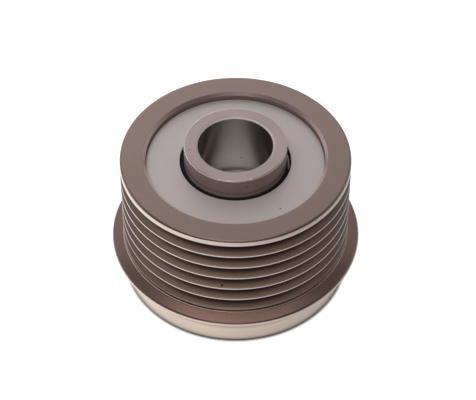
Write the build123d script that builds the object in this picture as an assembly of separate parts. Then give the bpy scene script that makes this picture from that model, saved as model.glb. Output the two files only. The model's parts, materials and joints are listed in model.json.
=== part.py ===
from build123d import *
import os
from math import cos, pi, radians, sin, sqrt, tan

# Overrunning alternator pulley, millimetres, +Z up.
# The origin is on the axis, at the end face of the front collar, and +Z points at the alternator.
# The pulley ring carries a hub on two ball bearings, and a roller clutch between them drives it one way:
# the ring drives the hub anticlockwise seen from the rear, and the hub may overrun it that way.

# Belt track: ribbed belt profile, counted from the rear face down to the flange
RIB_PITCH = 3.56
GROOVE_COUNT = 6
GROOVE_ANGLE = 40.0
GROOVE_DEPTH = 3.0
RIB_TIP_LAND = 0.45
RIB_TIP_ROUNDING = 0.12
GROOVE_FLOOR_ROUNDING = 0.3
BELT_DIAMETER = 52.5
FIRST_GROOVE_OFFSET = 3.2
REAR_EDGE_ROUNDING = 0.6

# Flange below the last rib, whose top slopes down to the rim, and the collar that the pulley stands on
FLANGE_DIAMETER = 58.0
FLANGE_STEP = 0.65
FLANGE_TAPER = 17.0
FLANGE_RIM_HEIGHT = 0.86
FLANGE_ROOT_ROUNDING = 0.5
RIM_TOP_SHARE = 0.75
RIM_FOOT_SHARE = 0.2
COLLAR_DIAMETER = 52.4
COLLAR_ROUNDING = 0.6

# Mouth in the collar: a counterbore with a snap groove, where the end cap fits
CAP_SEAT_DIAMETER = 40.0
CAP_SEAT_DEPTH = 2.2
CAP_GROOVE_DEPTH = 0.4
CAP_GROOVE_WIDTH = 0.8
CAP_GROOVE_OFFSET = 0.9
MOUTH_ROUNDING = 0.4

# Snap ring that holds the front bearing, and the ledge below its groove
SNAP_LEDGE = 1.2
SNAP_RING_THICKNESS = 1.5
SNAP_RING_WIDTH = 1.6
SNAP_RING_GAP = 7.0
SNAP_GROOVE_DEPTH = 1.0
SNAP_GROOVE_FLOAT = 0.05

# Deep-groove ball bearings, one at each end of the clutch
BEARING_BORE = 20.0
BEARING_DIAMETER = 37.0
BEARING_WIDTH = 9.0
BEARING_CORNER = 0.4
BALL_COUNT = 11
BALL_CLEARANCE = 0.02
RACE_CONFORMITY = 0.52
SHIELD_THICKNESS = 0.7
SHIELD_INSET = 0.2
SHIELD_CLEARANCE = 0.06

# Shares of the height between a bearing's bore and its outside, for what lies between them
BALL_SHARE = 0.56
SHOULDER_GAP_SHARE = 0.32
SHIELD_SEAT_SHARE = 0.095
CAGE_WIDTH_SHARE = 0.235
ROLLER_SHARE = 0.588
CAM_SHARE = 0.4

# Moulded ball cage: a ring with round pockets that are open on the side of the shield
CAGE_FLOOR = 0.82
CAGE_LIP = 1.0
CAGE_POCKET_CLEARANCE = 0.1

# Roller clutch between the bearings
CLUTCH_WIDTH = 7.0
ROLLER_COUNT = 8
ROLLER_CLEARANCE = 0.02
ROLLER_END_ROOM = 0.7
RAMP_ANGLE = 7.0
RAMP_ROOM_AHEAD = 0.8
RAMP_ROOM_BEHIND = 1.1
CLUTCH_CAGE_GAP = 0.35
CLUTCH_CAGE_FIT = 0.05
CLUTCH_CAGE_END = 0.1
WINDOW_ROOM_AHEAD = 0.2
WINDOW_ROOM_BEHIND = 2.0
WINDOW_END_ROOM = 0.1
SPRING_STRIP = 0.15
SPRING_WIDTH = 3.6
SPRING_GAP = 0.03
SPRING_TIP_DROP = 12.0

# Seal plate in the rear face, rising a little towards its turned-down rim, which carries a rubber lip
PLATE_DIAMETER = 40.7
PLATE_THICKNESS = 1.0
PLATE_RECESS = 1.75
PLATE_RISE = 0.4
PLATE_HOLE_GAP = 0.95
PLATE_RIM_HEIGHT = 1.8
PLATE_RIM_THICKNESS = 0.8
PLATE_EDGE_ROUNDING = 0.2
RECESS_CHAMFER = 0.6
SEAL_SPACE = 1.15
LIP_CLEARANCE = 0.05
LIP_HEIGHT = 0.9
LIP_RISE = 0.9
LIP_TIP = 0.12
LIP_BACK = 0.5

# Hub: collar at the rear, journal below it, smooth bore, thread and serration
HUB_COLLAR_DIAMETER = 23.3
HUB_PROUD = 3.7
HUB_COLLAR_ROUNDING = 0.3
HUB_FRONT_ROUNDING = 0.4
HUB_FRONT_STANDOFF = 0.4
SHAFT_DIAMETER = 17.0
SHAFT_BORE_DEPTH = 16.6
BORE_CHAMFER = 0.4
UNDERCUT_DEPTH = 0.2
UNDERCUT_HEIGHT = 0.6
THREAD_MINOR_DIAMETER = 14.38
THREAD_CHAMFER = 0.5
SERRATION_TEETH = 33
SERRATION_TIP_DIAMETER = 16.0
SERRATION_ROOT_DIAMETER = 17.4
SERRATION_LENGTH = 7.0
RELIEF_HEIGHT = 0.8
CUT_ALLOWANCE = 1.0

# Share of a section's side that one rounding may take up, which holds where a wall gets short
ROUNDING_ROOM = 0.6

# Heights that follow from the stack of pieces inside the ring, from the front face up
snap_bottom = CAP_SEAT_DEPTH + SNAP_LEDGE
front_bearing_bottom = snap_bottom + SNAP_RING_THICKNESS
clutch_bottom = front_bearing_bottom + BEARING_WIDTH
rear_bearing_bottom = clutch_bottom + CLUTCH_WIDTH
rear_bearing_top = rear_bearing_bottom + BEARING_WIDTH
plate_bottom = rear_bearing_top + SEAL_SPACE
plate_top = plate_bottom + PLATE_THICKNESS
plate_rim_top = plate_top + PLATE_RISE
plate_rim_bottom = plate_rim_top - PLATE_RIM_HEIGHT
ring_top = plate_top + PLATE_RECESS
hub_top = ring_top + HUB_PROUD
hub_bottom = front_bearing_bottom - HUB_FRONT_STANDOFF

# Radii that follow from the driving diameters
rib_radius = BELT_DIAMETER / 2
groove_radius = rib_radius - GROOVE_DEPTH
collar_radius = COLLAR_DIAMETER / 2
seat_radius = BEARING_DIAMETER / 2
journal_radius = BEARING_BORE / 2
plate_radius = PLATE_DIAMETER / 2
hub_radius = HUB_COLLAR_DIAMETER / 2
lip_radius = hub_radius + PLATE_HOLE_GAP

# Bearings and clutch between the hub's journal and the seat in the ring
section = seat_radius - journal_radius
ball_radius = BALL_SHARE * section / 2
ball_circle = (seat_radius + journal_radius) / 2
inner_shoulder = ball_circle - SHOULDER_GAP_SHARE * section / 2
outer_shoulder = ball_circle + SHOULDER_GAP_SHARE * section / 2
shield_seat_radius = outer_shoulder + SHIELD_SEAT_SHARE * section
cage_half_width = CAGE_WIDTH_SHARE * section / 2
cage_back = ball_radius + CAGE_POCKET_CLEARANCE + CAGE_FLOOR
roller_radius = ROLLER_SHARE * section / 2
roller_circle = journal_radius + ROLLER_CLEARANCE + roller_radius
roller_length = CLUTCH_WIDTH - 2 * ROLLER_END_ROOM
cam_radius = journal_radius + CAM_SHARE * section
ramp_ahead = roller_radius + RAMP_ROOM_AHEAD
ramp_behind = roller_radius + RAMP_ROOM_BEHIND
window_ahead = roller_radius + WINDOW_ROOM_AHEAD
window_behind = roller_radius + WINDOW_ROOM_BEHIND


def widest_rounding(spot, before, after):
    """Largest rounding of a corner whose arc leaves room on both the sides that meet there."""
    back = before - spot
    ahead = after - spot
    half_angle = radians(back.get_angle(ahead) / 2)
    return ROUNDING_ROOM * min(back.length, ahead.length) * tan(half_angle)


def turned(corners):
    """Solid of revolution about Z, from the (radius, height, rounding) corners of its section."""
    spots = [Vector(radius, height) for radius, height, rounding in corners]
    face = make_face(Polyline(spots, close=True))
    for number, (radius, height, rounding) in enumerate(corners):
        if rounding > 0:
            spot, before, after = spots[number], spots[number - 1], spots[(number + 1) % len(spots)]
            corner = face.vertices().sort_by_distance(spot)[0]
            face = fillet(corner, min(rounding, widest_rounding(spot, before, after)))
    return revolve(Plane.XZ * face, Axis.Z)


def annulus(inner, outer, bottom, top):
    """Plain ring between two radii and two heights."""
    return turned([(inner, bottom, 0), (outer, bottom, 0), (outer, top, 0), (inner, top, 0)])


def around(count, number):
    """Rotation that brings a piece from +X to its place among count equal steps."""
    return Rot(0, 0, 360 * number / count)


def belt_outline():
    """Outline of the grooves as (radius, height, rounding), from the rear face down to the last rib."""
    mouth_half = (RIB_PITCH - RIB_TIP_LAND) / 2
    floor_half = mouth_half - GROOVE_DEPTH * tan(radians(GROOVE_ANGLE / 2))
    corners = []
    for number in range(GROOVE_COUNT):
        middle = ring_top - FIRST_GROOVE_OFFSET - number * RIB_PITCH
        corners.append((rib_radius, middle + mouth_half, RIB_TIP_ROUNDING))
        corners.append((groove_radius, middle + floor_half, GROOVE_FLOOR_ROUNDING))
        corners.append((groove_radius, middle - floor_half, GROOVE_FLOOR_ROUNDING))
        corners.append((rib_radius, middle - mouth_half, RIB_TIP_ROUNDING))
    return corners


def pulley_ring():
    """Grooved ring with its flange, collar and stepped bore, turned in one piece."""
    grooves = belt_outline()
    last_rib_bottom = grooves[-1][1] - RIB_TIP_LAND
    flange_radius = FLANGE_DIAMETER / 2
    flange_top = last_rib_bottom - FLANGE_STEP
    rim_top = flange_top - (flange_radius - rib_radius) * tan(radians(FLANGE_TAPER))
    flange_bottom = rim_top - FLANGE_RIM_HEIGHT
    outside = [(rib_radius, ring_top, REAR_EDGE_ROUNDING)] + grooves
    outside += [
        (rib_radius, flange_top, 0),
        (flange_radius, rim_top, RIM_TOP_SHARE * FLANGE_RIM_HEIGHT),
        (flange_radius, flange_bottom, RIM_FOOT_SHARE * FLANGE_RIM_HEIGHT),
        (collar_radius, flange_bottom, FLANGE_ROOT_ROUNDING),
        (collar_radius, 0, COLLAR_ROUNDING),
    ]
    cap_radius = CAP_SEAT_DIAMETER / 2
    cap_groove_top = CAP_GROOVE_OFFSET + CAP_GROOVE_WIDTH
    snap_groove_bottom = snap_bottom - SNAP_GROOVE_FLOAT
    snap_groove_top = front_bearing_bottom + SNAP_GROOVE_FLOAT
    inside = [
        (cap_radius, 0, MOUTH_ROUNDING),
        (cap_radius, CAP_GROOVE_OFFSET, 0),
        (cap_radius + CAP_GROOVE_DEPTH, CAP_GROOVE_OFFSET, 0),
        (cap_radius + CAP_GROOVE_DEPTH, cap_groove_top, 0),
        (cap_radius, cap_groove_top, 0),
        (cap_radius, CAP_SEAT_DEPTH, 0),
        (seat_radius, CAP_SEAT_DEPTH, 0),
        (seat_radius, snap_groove_bottom, 0),
        (seat_radius + SNAP_GROOVE_DEPTH, snap_groove_bottom, 0),
        (seat_radius + SNAP_GROOVE_DEPTH, snap_groove_top, 0),
        (seat_radius, snap_groove_top, 0),
        (seat_radius, plate_bottom, 0),
        (plate_radius, plate_bottom, 0),
        (plate_radius, ring_top - RECESS_CHAMFER, 0),
        (plate_radius + RECESS_CHAMFER, ring_top, 0),
    ]
    return turned(outside + inside)


def seal_plate():
    """Sheet disc pressed into the rear face, its inner rim turned down towards the bearing."""
    return turned([
        (lip_radius, plate_rim_top, PLATE_EDGE_ROUNDING),
        (lip_radius, plate_rim_bottom, 0),
        (lip_radius + PLATE_RIM_THICKNESS, plate_rim_bottom, 0),
        (lip_radius + PLATE_RIM_THICKNESS, plate_rim_top - PLATE_THICKNESS, PLATE_EDGE_ROUNDING),
        (plate_radius, plate_bottom, 0),
        (plate_radius, plate_top, PLATE_EDGE_ROUNDING),
    ])


def seal_lip():
    """Rubber lip bonded inside the plate's rim, leaning up towards the hub's collar."""
    tip_radius = hub_radius + LIP_CLEARANCE
    heel_top = plate_rim_bottom + LIP_HEIGHT
    return turned([
        (lip_radius, plate_rim_bottom, 0),
        (lip_radius, heel_top, 0),
        (tip_radius + LIP_TIP, heel_top + LIP_RISE, 0),
        (tip_radius, heel_top + LIP_RISE - LIP_TIP, 0),
        (lip_radius - LIP_BACK, heel_top, 0),
        (lip_radius - LIP_BACK, plate_rim_bottom, 0),
    ])


def snap_ring():
    """Flat open ring in the groove below the front bearing."""
    outer = seat_radius + SNAP_GROOVE_DEPTH - SNAP_GROOVE_FLOAT
    ring = annulus(outer - SNAP_RING_WIDTH, outer, snap_bottom, front_bearing_bottom)
    opening = Pos(0, -outer, snap_bottom) * Box(SNAP_RING_GAP, outer, 2 * SNAP_RING_THICKNESS)
    return ring - opening


def race_groove(bottom_radius, side):
    """Ring-shaped cutter of a ball groove; side is 1 for an outer race and -1 for an inner one."""
    groove_section = RACE_CONFORMITY * 2 * ball_radius
    return Torus(bottom_radius - side * groove_section, groove_section)


def bearing_outer_ring():
    """Outer ring about its own centre, with the shield's seat at the top."""
    half = BEARING_WIDTH / 2
    shield_bottom = half - SHIELD_INSET - SHIELD_THICKNESS
    blank = turned([
        (outer_shoulder, -half, 0),
        (seat_radius, -half, BEARING_CORNER),
        (seat_radius, half, BEARING_CORNER),
        (shield_seat_radius, half, 0),
        (shield_seat_radius, shield_bottom, 0),
        (outer_shoulder, shield_bottom, 0),
    ])
    return blank - race_groove(ball_circle + ball_radius + BALL_CLEARANCE, 1)


def bearing_inner_ring():
    """Inner ring about its own centre."""
    half = BEARING_WIDTH / 2
    blank = turned([
        (journal_radius, -half, BEARING_CORNER),
        (inner_shoulder, -half, BEARING_CORNER),
        (inner_shoulder, half, BEARING_CORNER),
        (journal_radius, half, BEARING_CORNER),
    ])
    return blank - race_groove(ball_circle - ball_radius - BALL_CLEARANCE, -1)


def bearing_shield():
    """Rubber shield in the outer ring's seat, clear of the inner ring."""
    top = BEARING_WIDTH / 2 - SHIELD_INSET
    return annulus(inner_shoulder + SHIELD_CLEARANCE, shield_seat_radius, top - SHIELD_THICKNESS, top)


def ball_cage():
    """One-piece moulded cage whose round pockets hold the balls."""
    cage = annulus(ball_circle - cage_half_width, ball_circle + cage_half_width, -cage_back, CAGE_LIP)
    for number in range(BALL_COUNT):
        pocket = Pos(ball_circle, 0, 0) * Sphere(ball_radius + CAGE_POCKET_CLEARANCE)
        cage -= around(BALL_COUNT, number) * pocket
    return cage


def bearing(name, place):
    """Every piece of one ball bearing, at its place."""
    pieces = {
        name + "_bearing_outer_ring": place * bearing_outer_ring(),
        name + "_bearing_inner_ring": place * bearing_inner_ring(),
        name + "_bearing_shield": place * bearing_shield(),
        name + "_bearing_cage": place * ball_cage(),
    }
    for number in range(BALL_COUNT):
        ball = around(BALL_COUNT, number) * Pos(ball_circle, 0, 0) * Sphere(ball_radius)
        pieces[f"{name}_ball_{number + 1:02d}"] = place * ball
    return pieces


def ramp_pocket():
    """Cutter of one pocket in the cam ring: its wall slopes in and wedges the roller towards -Y."""
    slope = tan(radians(RAMP_ANGLE))
    wall = roller_circle + (roller_radius + ROLLER_CLEARANCE) / cos(radians(RAMP_ANGLE))
    mouth = cam_radius - CUT_ALLOWANCE
    pocket = make_face(Polyline([
        (mouth, ramp_behind),
        (wall + ramp_behind * slope, ramp_behind),
        (wall - ramp_ahead * slope, -ramp_ahead),
        (mouth, -ramp_ahead),
    ], close=True))
    return Pos(0, 0, clutch_bottom) * extrude(pocket, CLUTCH_WIDTH)


def cam_ring():
    """Clutch ring pressed into the pulley, with one ramp for each roller."""
    ring = annulus(cam_radius, seat_radius, clutch_bottom, rear_bearing_bottom)
    for number in range(ROLLER_COUNT):
        ring -= around(ROLLER_COUNT, number) * ramp_pocket()
    return ring


def clutch_cage():
    """Moulded cage with one window for each roller and its spring."""
    inner = journal_radius + CLUTCH_CAGE_GAP
    cage = annulus(inner, cam_radius - CLUTCH_CAGE_FIT,
                   clutch_bottom + CLUTCH_CAGE_END, rear_bearing_bottom - CLUTCH_CAGE_END)
    window_length = roller_length + 2 * WINDOW_END_ROOM
    window_middle = (window_behind - window_ahead) / 2
    middle_height = clutch_bottom + CLUTCH_WIDTH / 2
    window = Box(cam_radius, window_ahead + window_behind, window_length)
    for number in range(ROLLER_COUNT):
        cage -= around(ROLLER_COUNT, number) * Pos(roller_circle, window_middle, middle_height) * window
    return cage


def clutch_roller():
    """Roller at its place on the journal, on the +X side."""
    return Pos(roller_circle, 0, clutch_bottom + CLUTCH_WIDTH / 2) * Cylinder(roller_radius, roller_length)


def clutch_spring():
    """Folded leaf between the cage and the roller, on the +X side."""
    foot = window_behind - SPRING_STRIP / 2
    inner = journal_radius + CLUTCH_CAGE_GAP + SPRING_STRIP
    outer = sqrt((cam_radius - SPRING_STRIP) ** 2 - window_behind ** 2)
    reach = roller_radius + SPRING_GAP + SPRING_STRIP / 2
    tip = (roller_circle - reach * sin(radians(SPRING_TIP_DROP)), reach * cos(radians(SPRING_TIP_DROP)))
    strip = trace(Polyline([(inner, foot), (outer, foot), tip]), SPRING_STRIP)
    return Pos(0, 0, clutch_bottom + (CLUTCH_WIDTH - SPRING_WIDTH) / 2) * extrude(strip, SPRING_WIDTH)


def roller_clutch():
    """Every piece of the clutch."""
    pieces = {"clutch_cam_ring": cam_ring(), "clutch_cage": clutch_cage()}
    for number in range(ROLLER_COUNT):
        turn = around(ROLLER_COUNT, number)
        pieces[f"clutch_roller_{number + 1}"] = turn * clutch_roller()
        pieces[f"clutch_spring_{number + 1}"] = turn * clutch_spring()
    return pieces


def serration():
    """Cutter of the toothed bore, a prism with a point for each tooth space."""
    points = []
    for number in range(SERRATION_TEETH):
        for radius, share in ((SERRATION_ROOT_DIAMETER / 2, 0.0), (SERRATION_TIP_DIAMETER / 2, 0.5)):
            angle = 2 * pi * (number + share) / SERRATION_TEETH
            points.append((radius * cos(angle), radius * sin(angle)))
    prism = extrude(make_face(Polyline(points, close=True)), SERRATION_LENGTH + CUT_ALLOWANCE)
    return Pos(0, 0, hub_bottom - CUT_ALLOWANCE) * prism


def hub():
    """Hub in one piece: rear collar, journal for the bearings and rollers, and stepped bore."""
    bore_radius = SHAFT_DIAMETER / 2
    thread_radius = THREAD_MINOR_DIAMETER / 2
    tooth_radius = SERRATION_TIP_DIAMETER / 2
    relief_radius = SERRATION_ROOT_DIAMETER / 2
    bore_end = hub_top - SHAFT_BORE_DEPTH
    ledge = bore_end - UNDERCUT_HEIGHT
    serration_top = hub_bottom + SERRATION_LENGTH
    thread_bottom = serration_top + RELIEF_HEIGHT
    body = turned([
        (tooth_radius, hub_bottom, 0),
        (journal_radius, hub_bottom, HUB_FRONT_ROUNDING),
        (journal_radius, rear_bearing_top, 0),
        (hub_radius, rear_bearing_top, 0),
        (hub_radius, hub_top, HUB_COLLAR_ROUNDING),
        (bore_radius + BORE_CHAMFER, hub_top, 0),
        (bore_radius, hub_top - BORE_CHAMFER, 0),
        (bore_radius, bore_end, 0),
        (bore_radius + UNDERCUT_DEPTH, bore_end, 0),
        (bore_radius + UNDERCUT_DEPTH, ledge, 0),
        (thread_radius + THREAD_CHAMFER, ledge, 0),
        (thread_radius, ledge - THREAD_CHAMFER, 0),
        (thread_radius, thread_bottom, 0),
        (relief_radius, thread_bottom, 0),
        (relief_radius, serration_top, 0),
        (tooth_radius, serration_top, 0),
    ])
    return body - serration()


os.makedirs("parts", exist_ok=True)
front_place = Pos(0, 0, front_bearing_bottom + BEARING_WIDTH / 2) * Rot(180, 0, 0)
rear_place = Pos(0, 0, rear_bearing_bottom + BEARING_WIDTH / 2)
parts = {
    "pulley_ring": pulley_ring(),
    "hub": hub(),
    "seal_plate": seal_plate(),
    "seal_lip": seal_lip(),
    "snap_ring": snap_ring(),
}
parts.update(bearing("front", front_place))
parts.update(bearing("rear", rear_place))
parts.update(roller_clutch())
for node, solid in parts.items():
    export_step(solid, f"parts/{node}.step")
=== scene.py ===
import json
import bpy
import numpy as np
from mathutils import Matrix, Vector


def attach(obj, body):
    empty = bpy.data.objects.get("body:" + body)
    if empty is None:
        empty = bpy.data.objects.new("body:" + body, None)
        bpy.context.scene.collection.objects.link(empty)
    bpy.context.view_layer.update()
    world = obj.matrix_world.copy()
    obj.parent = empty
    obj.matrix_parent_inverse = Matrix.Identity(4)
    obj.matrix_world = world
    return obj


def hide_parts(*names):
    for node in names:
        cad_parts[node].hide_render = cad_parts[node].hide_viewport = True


# Overrunning alternator pulley. Sizes are millimetres here and metres in the meshes.
# It stands on its front collar with the alternator side up, as in the frame.

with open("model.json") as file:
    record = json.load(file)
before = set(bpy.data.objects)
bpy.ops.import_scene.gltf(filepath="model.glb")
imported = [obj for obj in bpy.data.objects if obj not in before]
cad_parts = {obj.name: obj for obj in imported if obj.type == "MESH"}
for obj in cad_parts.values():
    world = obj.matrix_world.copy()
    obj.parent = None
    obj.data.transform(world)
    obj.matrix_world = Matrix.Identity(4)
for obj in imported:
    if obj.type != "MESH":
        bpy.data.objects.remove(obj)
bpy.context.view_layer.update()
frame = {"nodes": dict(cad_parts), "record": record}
nodes = frame["nodes"]

MM = 0.001
TURN = 2 * np.pi

# Ring
RING_TOP = 33.8
REAR_EDGE_ROUNDING = 0.6
RIB_RADIUS = 26.25
RIB_PITCH = 3.56
RIB_LAND = 0.45
RIB_ROUNDING = 0.15
FIRST_RIB_ROUNDING = 0.4
GROOVE_COUNT = 6
GROOVE_DEPTH = 3.0
GROOVE_ROUNDING = 0.3
FIRST_GROOVE = 3.2
FLANK_SLOPE = np.tan(np.radians(20.0))
FLANGE_RADIUS = 29.0
FLANGE_SLOPE = np.tan(np.radians(17.0))
FLANGE_STEP = 0.65
FLANGE_ROOT_ROUNDING = 0.3
FLANGE_RIM = 0.86
RIM_TOP_ROUNDING = 0.64
RIM_FOOT_ROUNDING = 0.17
COLLAR_RADIUS = 26.2
COLLAR_ROOT_ROUNDING = 0.5
COLLAR_ROUNDING = 0.6
MOUTH_RADIUS = 20.0
MOUTH_DEPTH = 2.2
MOUTH_ROUNDING = 0.4
CAP_GROOVE_RADIUS = 20.4
CAP_GROOVE_SPAN = (0.9, 1.7)
SEAT_RADIUS = 18.5
SNAP_GROOVE_RADIUS = 19.5
SNAP_GROOVE_SPAN = (3.35, 4.95)
RECESS_CHAMFER = 0.6

# Disc in the rear face and the rubber lip in its hole
PLATE_TOP = 32.05
PLATE_BOTTOM = 31.05
PLATE_RADIUS = 20.35
PLATE_ROUNDING = 0.2
PLATE_THICKNESS = 1.0
PLATE_RIM_TOP = 32.45
PLATE_RIM_BOTTOM = 30.65
PLATE_RIM_WALL = 0.8
PLATE_HOLE_ROUNDING = 0.12
LIP_RADIUS = 12.6
LIP_BACK = 0.5
LIP_HEEL = 0.9
LIP_RISE = 0.9
LIP_TIP = 0.12
LIP_CLEARANCE = 0.05

# Hub
HUB_TOP = 37.5
HUB_BOTTOM = 4.5
HUB_RADIUS = 11.65
HUB_TOP_ROUNDING = 0.3
HUB_EDGE = 0.1
JOURNAL_RADIUS = 10.0
JOURNAL_TOP = 29.9
JOURNAL_ROUNDING = 0.4
BORE_RADIUS = 8.5
BORE_END = 20.9
BORE_CHAMFER = 0.4
UNDERCUT = 0.2
LEDGE = 20.3
THREAD_RADIUS = 7.19
THREAD_TOP = 19.8
THREAD_BOTTOM = 12.3
THREAD_CHAMFER = 0.5
THREAD_EDGE = 0.05
THREAD_PITCH = 1.5
THREAD_DEPTH = 0.75
THREAD_STEEPNESS = 1.45
THREAD_FLAT = 0.3
THREAD_RUN_OUT = 0.5
TOOTH_RADIUS = 8.0
TOOTH_DEPTH = 0.7
TOOTH_STEEPNESS = 1.3
TOOTH_FLAT = 0.15
TOOTH_COUNT = 33
TEETH_TOP = 11.5
RELIEF_RADIUS = 8.72

# Fineness of the meshes, and the slack in finding a stretch of a section
RING_STEPS = 240
DISC_STEPS = 200
LIP_STEPS = 160
STEPS_PER_TOOTH = 8
THREAD_ROWS = 80
BROKEN_EDGE = 0.04
STRAIGHT_MARGIN = 0.06
END_SLACK = 0.5
NEAR = 0.1


# Turned pieces

def unit(vectors):
    """Vectors of length one along the last axis."""
    return vectors / np.linalg.norm(vectors, axis=-1, keepdims=True)


def section(corners, steps=5):
    """Closed section of a turned piece through (radius, height, rounding) corners.

    Each corner becomes an arc that touches both its sides: the centre lies on the corner's bisector at
    rounding / sin(half the corner's angle), and the arc's radii are blended by the sine of their share of
    the swing. Each side also gets a point close to either end, so that it shades as a straight side."""
    table = np.array(corners, float)
    spot, rounding = table[:, :2], np.maximum(table[:, 2:], BROKEN_EDGE)
    back = unit(np.roll(spot, 1, axis=0) - spot)
    ahead = unit(np.roll(spot, -1, axis=0) - spot)
    half = np.arccos(np.clip((back * ahead).sum(axis=1, keepdims=True), -1, 1)) / 2
    reach = rounding / np.tan(half)
    centre = spot + unit(back + ahead) * rounding / np.sin(half)
    first, last = spot + back * reach, spot + ahead * reach
    swing = np.pi - 2 * half[:, None]
    share = np.linspace(0, 1, steps)[None, :, None]
    arc = (first - centre)[:, None] * np.sin((1 - share) * swing)
    arc = arc + (last - centre)[:, None] * np.sin(share * swing)
    arc = centre[:, None] + arc / np.sin(swing)
    clear = np.linalg.norm(np.roll(first, -1, axis=0) - last, axis=1, keepdims=True)
    margin = np.minimum(STRAIGHT_MARGIN, clear / 4)
    after = last + ahead * margin
    before = first + back * np.roll(margin, 1, axis=0)
    return np.concatenate([before[:, None], arc, after[:, None]], axis=1).reshape(-1, 2)


def between(outline, bottom, top, count):
    """The outline with count more points on the side that runs between two heights."""
    heights = outline[:, 1]
    following = np.roll(heights, -1)
    long = np.abs(following - heights) > (top - bottom) / 2
    low, high = np.minimum(heights, following), np.maximum(heights, following)
    near = (low > bottom - END_SLACK) & (high < top + END_SLACK)
    place = int(np.flatnonzero(long & near)[0])
    share = np.linspace(0, 1, count + 2)[1:-1, None]
    extra = outline[place] * (1 - share) + np.roll(outline, -1, axis=0)[place] * share
    return np.insert(outline, place + 1, extra, axis=0)


def turned(name, outline, steps, shape=None):
    """Turned piece: point (i, j) is the outline's point i, turned by j / steps of a full turn about +Z.

    shape, if given, maps the radius, height and angle grids to new radii. Both ways round close. The outline
    is made to run clockwise, so that the faces look outwards."""
    following = np.roll(outline, -1, axis=0)
    if (outline[:, 0] * following[:, 1] - outline[:, 1] * following[:, 0]).sum() > 0:
        outline = outline[::-1]
    angle = np.linspace(0, TURN, steps, endpoint=False)[None, :]
    radius = outline[:, :1] + 0 * angle
    height = outline[:, 1:] + 0 * angle
    if shape:
        radius = shape(radius, height, angle + 0 * radius)
    points = np.stack([radius * np.cos(angle), radius * np.sin(angle), height], axis=-1) * MM
    number = np.arange(radius.size).reshape(radius.shape)
    below, right = np.roll(number, -1, axis=0), np.roll(number, -1, axis=1)
    across = np.roll(below, -1, axis=1)
    quads = np.stack([number, below, across, right], axis=-1).reshape(-1, 4)
    mesh = bpy.data.meshes.new(name)
    mesh.from_pydata(points.reshape(-1, 3), [], quads.tolist())
    mesh.polygons.foreach_set("use_smooth", np.ones(len(mesh.polygons), bool))
    mesh.update()
    piece = bpy.data.objects.new(name, mesh)
    bpy.context.scene.collection.objects.link(piece)
    return piece


def belt_ring():
    """Grooved ring: V grooves at the belt's pitch, then the flange, the collar and the stepped bore."""
    mouth = (RIB_PITCH - RIB_LAND) / 2
    floor = mouth - GROOVE_DEPTH * FLANK_SLOPE
    floor_radius = RIB_RADIUS - GROOVE_DEPTH
    corners = []
    for groove in range(GROOVE_COUNT):
        middle = RING_TOP - FIRST_GROOVE - groove * RIB_PITCH
        corners += [
            (RIB_RADIUS, middle + mouth, RIB_ROUNDING if groove else FIRST_RIB_ROUNDING),
            (floor_radius, middle + floor, GROOVE_ROUNDING),
            (floor_radius, middle - floor, GROOVE_ROUNDING),
            (RIB_RADIUS, middle - mouth, RIB_ROUNDING),
        ]
    flange_top = corners[-1][1] - RIB_LAND - FLANGE_STEP
    rim_top = flange_top - (FLANGE_RADIUS - RIB_RADIUS) * FLANGE_SLOPE
    flange_bottom = rim_top - FLANGE_RIM
    cap_groove, cap_groove_top = CAP_GROOVE_SPAN
    snap_groove, snap_groove_top = SNAP_GROOVE_SPAN
    corners += [
        (RIB_RADIUS, flange_top, FLANGE_ROOT_ROUNDING), (FLANGE_RADIUS, rim_top, RIM_TOP_ROUNDING),
        (FLANGE_RADIUS, flange_bottom, RIM_FOOT_ROUNDING),
        (COLLAR_RADIUS, flange_bottom, COLLAR_ROOT_ROUNDING),
        (COLLAR_RADIUS, 0, COLLAR_ROUNDING), (MOUTH_RADIUS, 0, MOUTH_ROUNDING),
        (MOUTH_RADIUS, cap_groove, 0), (CAP_GROOVE_RADIUS, cap_groove, 0),
        (CAP_GROOVE_RADIUS, cap_groove_top, 0), (MOUTH_RADIUS, cap_groove_top, 0),
        (MOUTH_RADIUS, MOUTH_DEPTH, 0), (SEAT_RADIUS, MOUTH_DEPTH, 0),
        (SEAT_RADIUS, snap_groove, 0), (SNAP_GROOVE_RADIUS, snap_groove, 0),
        (SNAP_GROOVE_RADIUS, snap_groove_top, 0), (SEAT_RADIUS, snap_groove_top, 0),
        (SEAT_RADIUS, PLATE_BOTTOM, 0), (PLATE_RADIUS, PLATE_BOTTOM, 0),
        (PLATE_RADIUS, RING_TOP - RECESS_CHAMFER, 0), (PLATE_RADIUS + RECESS_CHAMFER, RING_TOP, 0),
        (RIB_RADIUS, RING_TOP, REAR_EDGE_ROUNDING),
    ]
    return turned("belt_ring", section(corners), RING_STEPS)


def clipped_wave(place, steepness, flat):
    """Triangle wave with one period to each whole step of place, steepened and cut off flat at 0 and 1."""
    return np.clip(np.abs(place % 1 * 2 - 1) * steepness - flat, 0, 1)


def hub_shape(radius, height, angle):
    """Radii of the hub: tooth spaces widen the mouth by a clipped wave in the angle, and the thread widens
    the hole by a clipped wave of height over pitch less the share of the turn."""
    teeth = clipped_wave(angle / TURN * TOOTH_COUNT, TOOTH_STEEPNESS, TOOTH_FLAT)
    in_teeth = (radius < TOOTH_RADIUS + 2 * NEAR) & (height < TEETH_TOP + NEAR)
    radius = radius + np.where(in_teeth, TOOTH_DEPTH * teeth, 0)
    thread = clipped_wave(height / THREAD_PITCH - angle / TURN, THREAD_STEEPNESS, THREAD_FLAT)
    from_ends = np.minimum(height - THREAD_BOTTOM, THREAD_TOP - height)
    fade = np.clip(from_ends / THREAD_RUN_OUT, 0, 1)
    in_thread = (radius < THREAD_RADIUS + NEAR) & (from_ends > -NEAR)
    return radius + np.where(in_thread, THREAD_DEPTH * fade * thread, 0)


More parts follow.
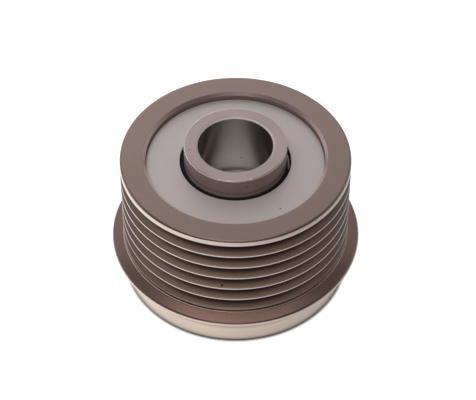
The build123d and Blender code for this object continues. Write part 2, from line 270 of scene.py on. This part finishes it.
def hub_sleeve():
    """Hub: collar, journal, toothed mouth, thread, ledge and smooth bore."""
    corners = [
        (HUB_RADIUS, HUB_TOP, HUB_TOP_ROUNDING), (HUB_RADIUS, JOURNAL_TOP, HUB_EDGE),
        (JOURNAL_RADIUS, JOURNAL_TOP, 0), (JOURNAL_RADIUS, HUB_BOTTOM, JOURNAL_ROUNDING),
        (TOOTH_RADIUS, HUB_BOTTOM, HUB_EDGE), (TOOTH_RADIUS, TEETH_TOP, THREAD_EDGE),
        (RELIEF_RADIUS, TEETH_TOP, 0), (RELIEF_RADIUS, THREAD_BOTTOM, 0),
        (THREAD_RADIUS, THREAD_BOTTOM, THREAD_EDGE), (THREAD_RADIUS, THREAD_TOP, THREAD_EDGE),
        (THREAD_RADIUS + THREAD_CHAMFER, LEDGE, 0), (BORE_RADIUS + UNDERCUT, LEDGE, 0),
        (BORE_RADIUS + UNDERCUT, BORE_END, 0), (BORE_RADIUS, BORE_END, 0),
        (BORE_RADIUS, HUB_TOP - BORE_CHAMFER, HUB_EDGE), (BORE_RADIUS + BORE_CHAMFER, HUB_TOP, HUB_EDGE),
    ]
    outline = between(section(corners), THREAD_BOTTOM, THREAD_TOP, THREAD_ROWS)
    return turned("hub_sleeve", outline, TOOTH_COUNT * STEPS_PER_TOOTH, hub_shape)


def cover_disc():
    """Sheet disc that rises a little towards its inner rim, which is turned down."""
    wall = LIP_RADIUS + PLATE_RIM_WALL
    return turned("cover_disc", section([
        (LIP_RADIUS, PLATE_RIM_TOP, PLATE_HOLE_ROUNDING), (PLATE_RADIUS, PLATE_TOP, PLATE_ROUNDING),
        (PLATE_RADIUS, PLATE_BOTTOM, 0), (wall, PLATE_RIM_TOP - PLATE_THICKNESS, PLATE_ROUNDING),
        (wall, PLATE_RIM_BOTTOM, 0), (LIP_RADIUS, PLATE_RIM_BOTTOM, 0),
    ]), DISC_STEPS)


def rubber_lip():
    """Lip inside the disc's rim, leaning up towards the hub."""
    tip_radius = HUB_RADIUS + LIP_CLEARANCE
    back_radius = LIP_RADIUS - LIP_BACK
    heel = PLATE_RIM_BOTTOM + LIP_HEEL
    tip = heel + LIP_RISE
    return turned("rubber_lip", section([
        (LIP_RADIUS, PLATE_RIM_BOTTOM, 0), (back_radius, PLATE_RIM_BOTTOM, 0), (back_radius, heel, 0),
        (tip_radius, tip - LIP_TIP, 0), (tip_radius + LIP_TIP, tip, 0), (LIP_RADIUS, heel, 0),
    ], 3), LIP_STEPS)


# Marks that the photo shows, and the line of a painted sheen on the lip, at their places on the pieces at
# rest
GROOVE_SPECK = (-2.95, -25.5, 18.57)
HUB_NICK = (3.34, -10.9, 37.49)
SIDE_SCRATCH = ((2.3, -11.42, 35.41), (2.65, -11.34, 35.68))
BORE_SCRATCH = ((1.15, 8.42, 24.73), (1.65, 8.34, 24.73))
FACE_PIT = (-10.25, -1.73, 37.5)
SMALL_FACE_PIT = (-10.0, -2.1, 37.5)
DISC_MARK = (9.97, -14.82, 32.18)
# Line of the painted sheen on the lip, where light falls on it
LIP_SHEEN_LINE = ((11.9, 1.6, 32.4), (12.2, -2.9, 32.05))

# Share of a streak's width that is marked in full
STREAK_CORE = 0.4


def colour(red, green, blue):
    """A colour socket's value from its three linear parts."""
    return (red, green, blue, 1.0)


# Tones of the ring
RING_TONE = colour(0.51, 0.417, 0.343)
RING_CLOUD = colour(0.44, 0.376, 0.32)
RING_ARC = colour(0.40, 0.335, 0.29)
# Painted shade in the grooves: darkest at their floors, lighter towards their mouths
GROOVE_FLOOR_SHADE = colour(0.15, 0.10, 0.10)
GROOVE_MOUTH_SHADE = colour(0.40, 0.33, 0.275)
LAND_TONE = colour(0.415, 0.355, 0.315)
FLANGE_TONE = colour(0.43, 0.33, 0.262)
RIM_TONE = colour(0.46, 0.375, 0.315)
# Painted shadow of the flange on the collar below it
FLANGE_SHADOW_TONE = colour(0.33, 0.275, 0.235)
# Painted shade on the recess wall, and a painted highlight on its top chamfer
RECESS_PAINTED_SHADE = colour(0.31, 0.225, 0.2)
RECESS_CHAMFER_HIGHLIGHT = colour(0.9, 0.79, 0.72)
SPECK_TONE = colour(0.05, 0.035, 0.03)

# Tones of the hub
HUB_TONE = colour(0.72, 0.68, 0.62)
HUB_CLOUD = colour(0.67, 0.63, 0.57)
HUB_SIDE_TONE = colour(0.36, 0.275, 0.25)
HUB_FOOT_TONE = colour(0.54, 0.44, 0.40)
# Painted highlight on the rounding of the hub's top edge
HUB_EDGE_HIGHLIGHT = colour(1.0, 0.94, 0.88)
BORE_TONE = colour(0.46, 0.435, 0.41)
THREAD_TONE = colour(0.92, 0.88, 0.84)
# Painted highlight on the ledge in the hole and on the bore's top chamfer, which are also matt
LEDGE_AND_CHAMFER_HIGHLIGHT = colour(1.0, 0.89, 0.85)
SCRATCH_TONE = colour(0.10, 0.08, 0.07)
# A nick on the hub's edge, with its glint painted on as a pale matt tone
NICK_PAINTED_GLINT = colour(0.95, 0.92, 0.88)

# Tones of the disc and the lip
PLATE_TONE = colour(0.92, 0.89, 0.84)
PLATE_CLOUD = colour(0.87, 0.84, 0.79)
PLATE_MARK_TONE = colour(0.35, 0.31, 0.3)
# Painted sheen on the rubber lip, where light falls on it
LIP_PAINTED_SHEEN = colour(0.75, 0.66, 0.62)

# Clouds on the plain metals and on the rubber and polymer, as shares of their own tone
METAL_CLOUD = 0.93
MOULDED_CLOUD = 1.15
MOULDED_LIFT = 0.004

# Heights of the painted shadow of the flange on the ring's collar, and where its ribs' lands start
FLANGE_SHADOW_HEIGHTS = (4.0, 8.4)
LANDS_FROM = 10.9


# Finishes

class Value:
    """A number that changes over a surface. Arithmetic on it adds Math nodes."""

    def __init__(self, finish, socket):
        self.finish = finish
        self.socket = socket

    def maths(self, operation, *others):
        """One operation on numbers."""
        return self.finish.node("ShaderNodeMath", {"operation": operation}, dict(enumerate(others)))

    def __add__(self, other):
        return self.maths("ADD", self, other)

    def __sub__(self, other):
        return self.maths("SUBTRACT", self, other)

    def __mul__(self, other):
        return self.maths("MULTIPLY", self, other)

    def __pow__(self, other):
        return self.maths("POWER", self, other)

    def __rsub__(self, other):
        return self.maths("SUBTRACT", other, self)

    __radd__ = __add__
    __rmul__ = __mul__


class Shading:
    """Nodes of one material or world, with the place on the surface, or the direction, as a start."""

    def __init__(self, owner, place="Object"):
        self.owner = owner
        owner.use_nodes = True
        self.links = owner.node_tree.links
        self.nodes = owner.node_tree.nodes
        self.nodes.clear()
        self.place = self.node("ShaderNodeTexCoord", output=place)
        self.x, self.y, self.z = (self.node("ShaderNodeSeparateXYZ", {}, {0: self.place}, axis)
                                  for axis in "XYZ")
        self.radius = (self.x * self.x + self.y * self.y) ** 0.5

    def node(self, kind, settings=None, sockets=None, output=0):
        """Adds a node: its settings first, then its sockets' values or links."""
        made = self.nodes.new(kind)
        for setting, value in (settings or {}).items():
            setattr(made, setting, value)
        for socket, value in (sockets or {}).items():
            self.feed(made.inputs[socket], value)
        return Value(self, made.outputs[output])

    def feed(self, socket, value):
        """Links a value to a socket, or writes a plain number or colour on it."""
        if isinstance(value, Value):
            self.links.new(value.socket, socket)
        else:
            socket.default_value = value

    def grid(self, x, y, z):
        """A vector from three numbers."""
        return self.node("ShaderNodeCombineXYZ", {}, {0: x, 1: y, 2: z})

    def noise(self, where, scale, detail, roughness):
        """Noise from 0 to 1 at that many cells to the metre."""
        return self.node("ShaderNodeTexNoise", {}, {"Vector": where, "Scale": scale, "Detail": detail,
                                                    "Roughness": roughness})

    def step(self, value, low, high):
        """Smooth step from 0 at low to 1 at high."""
        return self.node("ShaderNodeMapRange", {"interpolation_type": "SMOOTHSTEP"},
                         {"Value": value, "From Min": low, "From Max": high})

    def beyond(self, size, limit, fade=0.1):
        """0 up to a limit and 1 from its fade on, in millimetres."""
        return self.step(size, limit * MM, (limit + fade) * MM)

    def span(self, value, low, high, at_low, at_high):
        """Straight line from one value to another, held beyond both ends."""
        return self.node("ShaderNodeMapRange", {}, {"Value": value, "From Min": low, "From Max": high,
                                                    "To Min": at_low, "To Max": at_high})

    def rays(self):
        """1 where a camera, glossy or transmission ray looks, each as a value of its own."""
        return [self.node("ShaderNodeLightPath", output=f"Is {ray} Ray")
                for ray in ("Camera", "Glossy", "Transmission")]

    def vectors(self, operation, *operands, output=0):
        """One operation on vectors."""
        return self.node("ShaderNodeVectorMath", {"operation": operation}, dict(enumerate(operands)), output)

    def away(self, point):
        """Distance of the place on the surface from a point, in metres."""
        return self.vectors("DISTANCE", self.place, point, output="Value")

    def spot(self, point, inner, outer):
        """1 within inner millimetres of a point and 0 beyond outer millimetres."""
        return 1 - self.step(self.away(Vector(point) * MM), inner * MM, outer * MM)

    def streak(self, start, end, width):
        """1 on the line between two points and 0 beyond its width, in millimetres."""
        first, last = Vector(start) * MM, Vector(end) * MM
        along, length = (last - first).normalized(), (last - first).length
        from_start = self.vectors("SUBTRACT", self.place, first)
        travel = self.vectors("DOT_PRODUCT", from_start, along, output="Value")
        held = self.node("ShaderNodeClamp", {}, {"Value": travel, "Min": 0.0, "Max": length})
        foot = self.vectors("MULTIPLY_ADD", along, self.grid(held, held, held), first)
        return 1 - self.step(self.away(foot), width * MM * STREAK_CORE, width * MM)

    def mix(self, share, first, second):
        """Colour between two colours."""
        return self.node("ShaderNodeMix", {"data_type": "RGBA"}, {"Factor": share, 6: first, 7: second}, 2)


class Finish(Shading):
    """One material. Its Principled shader takes the constants it is made with."""

    def __init__(self, name, **surface):
        super().__init__(bpy.data.materials.new(name))
        self.material = self.owner
        out = self.nodes.new("ShaderNodeOutputMaterial")
        self.shader = self.nodes.new("ShaderNodeBsdfPrincipled")
        self.links.new(self.shader.outputs[0], out.inputs["Surface"])
        for socket, value in surface.items():
            self.shader.inputs[socket.replace("_", " ")].default_value = value

    def surface(self, socket, value):
        """Feeds one of the shader's sockets."""
        self.feed(self.shader.inputs[socket], value)

    def bump(self, height, strength, distance):
        """Bump from a height of 0 to 1, its full depth given in millimetres."""
        depth = {"Strength": strength, "Distance": distance * MM, "Height": height}
        self.surface("Normal", self.node("ShaderNodeBump", {}, depth))

    def turning(self, pitch, seed=0.0):
        """Fine turning marks, from 0 to 1: noise that changes with radius and height alone."""
        where = self.grid(self.radius, self.z, seed)
        return self.noise(where, 1 / (pitch * MM), 2.0, 0.6)


def browned_steel():
    """Turned steel with a thin brown finish, for the ring."""
    finish = Finish("browned_steel", Metallic=1.0)
    marks = finish.turning(0.35)
    cloud = finish.noise(finish.place, 90.0, 3.0, 0.6)
    tone = finish.mix(cloud, RING_TONE, RING_CLOUD)
    arcs = finish.turning(0.9, 11.0)
    tone = finish.mix(finish.step(arcs, 0.5, 0.9), tone, RING_ARC)
    # Painted shade in the grooves, fading from the floor towards the mouth
    groove = 1 - finish.beyond(finish.radius, RIB_RADIUS - 0.35, 0.3)
    groove = groove * finish.beyond(finish.radius, RIB_RADIUS - GROOVE_DEPTH - 0.25)
    groove = groove * (1 - finish.beyond(finish.z, RING_TOP - 0.8))
    shade_fade = finish.beyond(finish.radius, RIB_RADIUS - 1.95, 1.55)
    tone = finish.mix(groove, tone, finish.mix(shade_fade, GROOVE_FLOOR_SHADE, GROOVE_MOUTH_SHADE))
    flange = finish.beyond(finish.radius, RIB_RADIUS + 0.05, 0.2)
    tone = finish.mix(flange, tone, FLANGE_TONE)
    rim = finish.beyond(finish.radius, FLANGE_RADIUS - 0.5, 0.3)
    tone = finish.mix(rim, tone, RIM_TONE)
    # Painted shadow of the flange on the upper collar
    shadow_bottom, shadow_top = FLANGE_SHADOW_HEIGHTS
    flange_shadow = finish.beyond(finish.z, shadow_bottom, 1.0) * (1 - finish.beyond(finish.z, shadow_top))
    tone = finish.mix(flange_shadow, tone, FLANGE_SHADOW_TONE)
    land = finish.beyond(finish.radius, RIB_RADIUS - 0.1, 0.07) * (1 - flange)
    land = land * finish.beyond(finish.z, LANDS_FROM, 0.2)
    tone = finish.mix(land, tone, LAND_TONE)
    # Painted shade on the recess wall, and a painted highlight on its top chamfer
    recess = 1 - finish.beyond(finish.radius, PLATE_RADIUS + RECESS_CHAMFER - 0.03, 0.05)
    chamfer = finish.beyond(finish.z, RING_TOP - RECESS_CHAMFER - 0.05, 0.05)
    tone = finish.mix(recess, tone, finish.mix(chamfer, RECESS_PAINTED_SHADE, RECESS_CHAMFER_HIGHLIGHT))
    speck = finish.spot(GROOVE_SPECK, 0.15, 0.42)
    finish.surface("Base Color", finish.mix(speck, tone, SPECK_TONE))
    finish.surface("Roughness", 0.17 + marks * 0.07 + cloud * 0.04 + groove * 0.15)
    finish.bump(marks, 0.2, 0.003)
    return finish.material


def ground_steel():
    """Ground steel of the hub, a little warm outside and neutral in the bore."""
    finish = Finish("ground_steel", Anisotropic=0.9, Anisotropic_Rotation=0.25)
    marks = finish.turning(0.2, 3.0)
    cloud = finish.noise(finish.place, 120.0, 3.0, 0.6)
    inside = 1 - finish.beyond(finish.radius, BORE_RADIUS + 0.1, 0.3)
    tone = finish.mix(cloud, HUB_TONE, HUB_CLOUD)
    tone = finish.mix(inside, tone, BORE_TONE)
    thread = inside * finish.beyond(finish.z, THREAD_BOTTOM - 0.3, 0.2)
    thread = thread * (1 - finish.beyond(finish.z, THREAD_TOP + 0.1))
    tone = finish.mix(thread, tone, THREAD_TONE)
    outside = finish.beyond(finish.radius, HUB_RADIUS - HUB_TOP_ROUNDING + 0.01, 0.06)
    side = outside * (1 - finish.beyond(finish.z, HUB_TOP - HUB_TOP_ROUNDING - 0.02))
    # Painted highlight on the rounding of the top edge; the side and foot tones cover the rest of the
    # outside
    tone = finish.mix(outside, tone, HUB_EDGE_HIGHLIGHT)
    foot = outside * (1 - finish.beyond(finish.z, PLATE_RIM_TOP + 0.35, 0.6))
    tone = finish.mix(side, tone, HUB_SIDE_TONE)
    tone = finish.mix(foot, tone, HUB_FOOT_TONE)
    # Painted highlight on the ledge and on the bore's top chamfer: a pale matt tone
    ledge = inside * finish.beyond(finish.z, LEDGE - 0.1, 0.05)
    ledge = ledge * (1 - finish.beyond(finish.z, LEDGE + 0.05, 0.05))
    chamfer = finish.beyond(finish.z, HUB_TOP - BORE_CHAMFER - 0.05, 0.05)
    chamfer = chamfer * (1 - finish.beyond(finish.radius, BORE_RADIUS + BORE_CHAMFER - 0.05, 0.05))
    # A nick, with its glint painted on
    nick = finish.spot(HUB_NICK, 0.12, 0.36)
    matt = side * 0.4 + foot * 0.35 + ledge + chamfer * 0.8 + nick * 0.6
    tone = finish.mix(ledge + chamfer, tone, LEDGE_AND_CHAMFER_HIGHLIGHT)
    scratch = finish.streak(*SIDE_SCRATCH, 0.2) + finish.streak(*BORE_SCRATCH, 0.12)
    scratch = scratch + finish.spot(FACE_PIT, 0.05, 0.2) + finish.spot(SMALL_FACE_PIT, 0.03, 0.14)
    tone = finish.mix(scratch, tone, SCRATCH_TONE)
    tone = finish.mix(nick, tone, NICK_PAINTED_GLINT)
    finish.surface("Base Color", tone)
    finish.surface("Metallic", 1 - matt)
    finish.surface("Roughness", 0.2 + marks * 0.08 + inside * 0.06 + thread * 0.19)
    finish.bump(marks, 0.2, 0.003)
    return finish.material


def zinc_plate():
    """Satin zinc-plated sheet of the seal plate."""
    finish = Finish("zinc_plate", Metallic=0.65)
    grain = finish.noise(finish.place, 2500.0, 2.0, 0.6)
    cloud = finish.noise(finish.place, 140.0, 3.0, 0.55)
    tone = finish.mix(cloud, PLATE_TONE, PLATE_CLOUD)
    mark = finish.spot(DISC_MARK, 0.1, 0.35)
    finish.surface("Base Color", finish.mix(mark, tone, PLATE_MARK_TONE))
    finish.surface("Roughness", 0.44 + grain * 0.08 + cloud * 0.05)
    finish.bump(grain, 0.15, 0.004)
    return finish.material


def plain_metal(name, tone, rough, pitch):
    """Bearing, clutch or spring steel: one tone with fine marks."""
    finish = Finish(name, Metallic=1.0)
    marks = finish.turning(pitch, 7.0)
    cloud = finish.noise(finish.place, 200.0, 2.0, 0.5)
    darker = tuple(METAL_CLOUD * part for part in tone)
    finish.surface("Base Color", finish.mix(cloud, colour(*tone), colour(*darker)))
    finish.surface("Roughness", rough + marks * 0.08)
    finish.bump(marks, 0.15, 0.002)
    return finish.material


def moulded(name, tone, rough, grain_size):
    """Rubber or polymer with a moulded grain."""
    finish = Finish(name)
    grain = finish.noise(finish.place, grain_size, 2.0, 0.6)
    cloud = finish.noise(finish.place, 150.0, 2.0, 0.5)
    paler = tuple(MOULDED_CLOUD * part + MOULDED_LIFT for part in tone)
    # Painted sheen along a line on the lip
    painted_sheen = finish.streak(*LIP_SHEEN_LINE, 0.3)
    tone = finish.mix(cloud, colour(*tone), colour(*paler))
    finish.surface("Base Color", finish.mix(painted_sheen, tone, LIP_PAINTED_SHEEN))
    finish.surface("Roughness", rough + grain * 0.12)
    finish.bump(grain, 0.2, 0.01)
    return finish.material


finishes = {
    "browned_steel": browned_steel(),
    "ground_steel": ground_steel(),
    "zinc_plate": zinc_plate(),
    "bearing_steel": plain_metal("bearing_steel", (0.72, 0.72, 0.72), 0.2, 0.25),
    "polished_steel": plain_metal("polished_steel", (0.8, 0.8, 0.8), 0.06, 0.4),
    "spring_steel": plain_metal("spring_steel", (0.4, 0.4, 0.42), 0.3, 0.3),
    "black_rubber": moulded("black_rubber", (0.012, 0.011, 0.011), 0.75, 2500.0),
    "cage_polymer": moulded("cage_polymer", (0.62, 0.58, 0.45), 0.45, 1500.0),
}


def dress(piece, name):
    """Gives a piece one finish all over."""
    piece.data.materials.clear()
    piece.data.materials.append(finishes[name])


for subpart in frame["record"]["subparts"]:
    dress(nodes[subpart["node"]], subpart["material_slot"])
for piece, node, body, slot in (
    (belt_ring(), "pulley_ring", "pulley", "browned_steel"),
    (hub_sleeve(), "hub", "hub", "ground_steel"),
    (cover_disc(), "seal_plate", "pulley", "zinc_plate"),
    (rubber_lip(), "seal_lip", "pulley", "black_rubber"),
):
    dress(piece, slot)
    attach(piece, body)
    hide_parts(node)


# Studio: white sweep, soft light from above left, darker in front where the camera stands

# Floor: its tone, its glow, and the fall of the mirrored glow from left to right up to a reach, in metres
FLOOR_SIZE = 3.0
FLOOR_TONE = colour(0.8, 0.8, 0.8)
FLOOR_WHITE = 0.92
FLOOR_FALL = 9.0
FLOOR_REACH = 0.06

# Glow that the hole mirrors from the floor's centre, within a radius in millimetres
CENTRE_GLOW = 1.45
CENTRE_RADIUS = 9.0

# Sky: levels, then the stretches of direction over which each one comes in, and the tints in reflections
SKY_LIGHT = 0.25
SKY_FRONT = 0.25
SKY_BACK, SKY_BACK_HIGH = 0.68, 0.30
SKY_ABOVE = 0.40
SKY_LEFT = 0.14
SKY_SIDES = 0.45
BACK_SPAN = (-0.35, 0.55)
BACK_RISE = (0.64, 0.79)
ABOVE_SPAN = (0.86, 1.0)
LEFT_SPAN = (-0.1, 0.1)
SIDES_SPAN = (0.015, 0.16)
SKY_WHITE = colour(1, 1, 1)
FRONT_TINT = colour(1.0, 0.76, 0.82)
BACK_TINT = colour(1.0, 0.86, 0.92)

# Lamp and camera, in metres, degrees and millimetres of the lens
LAMP_PLACE = (-0.22, -0.06, 0.6)
LAMP_SIZE = 0.35
LAMP_POWER = 1.3
CAMERA_PLACE = (0.000589, -0.282854, 0.319341)
CAMERA_TILT = 46.698
CAMERA_LENS = 134.634
SENSOR_WIDTH = 36.0


def studio_floor():
    """Pale matt floor that is clear from below. It also glows a little, except under the part, where its
    shadow lies."""
    bpy.ops.mesh.primitive_plane_add(size=FLOOR_SIZE, location=(0, 0, 0))
    floor = bpy.context.object
    floor.name = "studio_floor"
    finish = Shading(bpy.data.materials.new("studio_floor"))
    camera, glossy, through = finish.rays()
    shadow_radius = COLLAR_RADIUS - 0.2
    around = finish.beyond(finish.radius, shadow_radius, 0.9)
    centre = 1 - finish.beyond(finish.radius, CENTRE_RADIUS, 3.0)
    mirrored = finish.beyond(finish.radius, shadow_radius, 1.5) + CENTRE_GLOW * centre
    fall = FLOOR_REACH * FLOOR_FALL
    side = finish.span(finish.x, -FLOOR_REACH, FLOOR_REACH, fall, -fall)
    glow = (around * (camera + through) + mirrored * glossy * (1 + side)) * FLOOR_WHITE
    matt = finish.node("ShaderNodeBsdfDiffuse", {}, {"Color": FLOOR_TONE})
    light = finish.node("ShaderNodeEmission", {}, {"Strength": glow})
    both = finish.node("ShaderNodeAddShader", {}, {0: matt, 1: light})
    below = finish.node("ShaderNodeNewGeometry", output="Backfacing")
    clear = finish.node("ShaderNodeBsdfTransparent")
    seen = finish.node("ShaderNodeMixShader", {}, {0: below, 1: both, 2: clear})
    finish.feed(finish.nodes.new("ShaderNodeOutputMaterial").inputs["Surface"], seen)
    floor.data.materials.append(finish.owner)


def studio_sky():
    """World: white to the camera, plain for soft light, and in reflections a sweep that is bright behind,
    overhead and to the left, and dark in front."""
    world = bpy.data.worlds.new("studio_sky")
    bpy.context.scene.world = world
    sky = Shading(world, "Generated")
    back = sky.step(sky.y, *BACK_SPAN)
    behind = sky.span(sky.z, *BACK_RISE, SKY_BACK, SKY_BACK_HIGH)
    level = SKY_FRONT + (behind - SKY_FRONT) * back + SKY_ABOVE * sky.step(sky.z, *ABOVE_SPAN)
    level = level * sky.span(sky.x, *LEFT_SPAN, 1 + SKY_LEFT, 1 - SKY_LEFT)
    level = level * (1 - SKY_SIDES * sky.step(sky.x * sky.x, *SIDES_SPAN))
    camera, glossy, through = sky.rays()
    seen = sky.node("ShaderNodeMix", {}, {0: glossy, 2: SKY_LIGHT, 3: level})
    seen = sky.node("ShaderNodeMix", {}, {0: camera + through, 2: seen, 3: 1.0})
    tint = sky.mix(glossy, SKY_WHITE, sky.mix(back, FRONT_TINT, BACK_TINT))
    light = sky.node("ShaderNodeBackground", {}, {"Color": tint, "Strength": seen})
    sky.feed(sky.nodes.new("ShaderNodeOutputWorld").inputs["Surface"], light)


def studio_lamp():
    """Soft square lamp that lights the floor and the matt pieces."""
    light = bpy.data.lights.new("studio_lamp", "AREA")
    light.size, light.energy = LAMP_SIZE, LAMP_POWER
    lamp = bpy.data.objects.new("studio_lamp", light)
    lamp.location = LAMP_PLACE
    lamp.rotation_euler = (-Vector(LAMP_PLACE)).to_track_quat("-Z", "Y").to_euler()
    lamp.visible_glossy = False
    bpy.context.scene.collection.objects.link(lamp)


def studio_camera():
    """Camera at the photo's place and angle."""
    lens = bpy.data.cameras.new("photo_camera")
    lens.sensor_width, lens.lens = SENSOR_WIDTH, CAMERA_LENS
    lens.clip_start, lens.clip_end = 0.01, 10.0
    camera = bpy.data.objects.new("photo_camera", lens)
    tilt = np.radians(CAMERA_TILT)
    ahead = Vector((0, np.cos(tilt), -np.sin(tilt)))
    turn = ahead.to_track_quat("-Z", "Y").to_matrix().to_4x4()
    camera.matrix_world = Matrix.Translation(CAMERA_PLACE) @ turn
    bpy.context.scene.collection.objects.link(camera)
    bpy.context.scene.camera = camera


studio_floor()
studio_sky()
studio_lamp()
studio_camera()
bpy.context.scene.view_settings.view_transform = "Standard"
